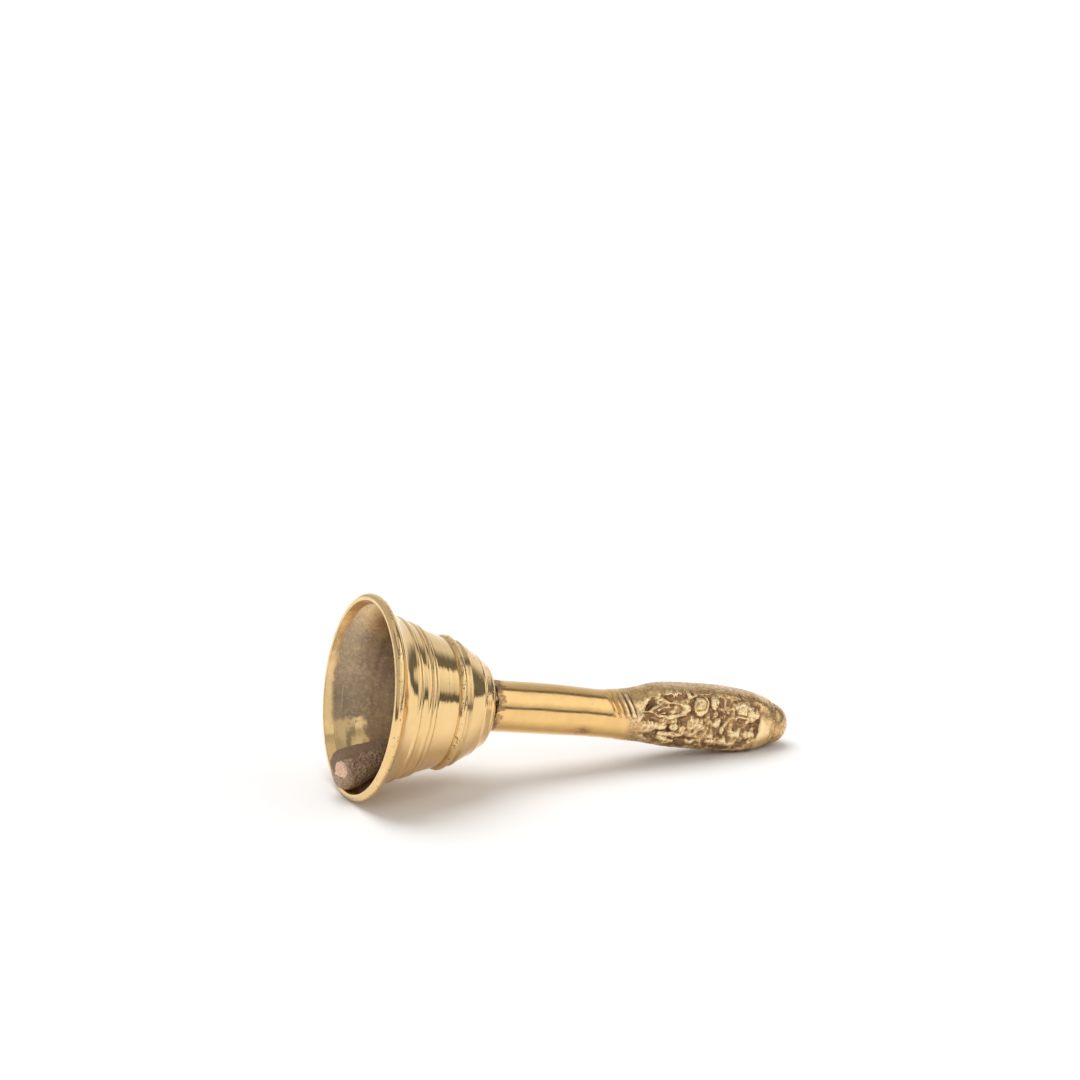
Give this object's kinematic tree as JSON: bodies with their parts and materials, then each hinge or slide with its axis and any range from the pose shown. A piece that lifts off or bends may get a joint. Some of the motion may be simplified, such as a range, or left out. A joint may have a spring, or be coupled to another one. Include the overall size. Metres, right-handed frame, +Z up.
{
  "type": "hand bell",
  "caption": "Small hand bell lying on its side: turned flared bell, cast handle with a seated figure in relief, and a clapper hung on a wire ring.",
  "frame": {"origin": "centre of the part's box in plan, on the surface that the bell lies on", "axes": "+X along the surface from the mouth to the handle's end, +Z up, the figure on the handle faces -Y"},
  "size_m": [0.1196, 0.05, 0.0492],
  "materials": {
    "turned_brass": "turned and polished outside, tarnished inside",
    "cast_brass": "polished shaft, rough cast figure with dark hollows",
    "braze": "rough, dark and pitted",
    "iron_wire": "dull, lightly rusted",
    "rough_bronze": "sandy as cast, with a copper patch near the end"
  },
  "bodies": {
    "bell": {"bell_cup": "turned_brass", "handle": "cast_brass", "braze_ring": "braze", "staple": "iron_wire"},
    "link": {"clapper_link": "iron_wire"},
    "clapper": {"clapper_wire": "iron_wire", "clapper_bob": "rough_bronze"}
  },
  "joints": [
    {"name": "link_turn", "type": "hinge", "parent": "bell", "child": "link", "pos_m": [-0.05232, 0, 0.02484], "axis": [0.9843, 0, -0.1767], "range_deg": [-30, 30]},
    {"name": "clapper_swing", "type": "hinge", "parent": "link", "child": "clapper", "pos_m": [-0.03047, 0, 0.01781], "axis": [0, 1, 0], "range_deg": [0, 74]}
  ]
}
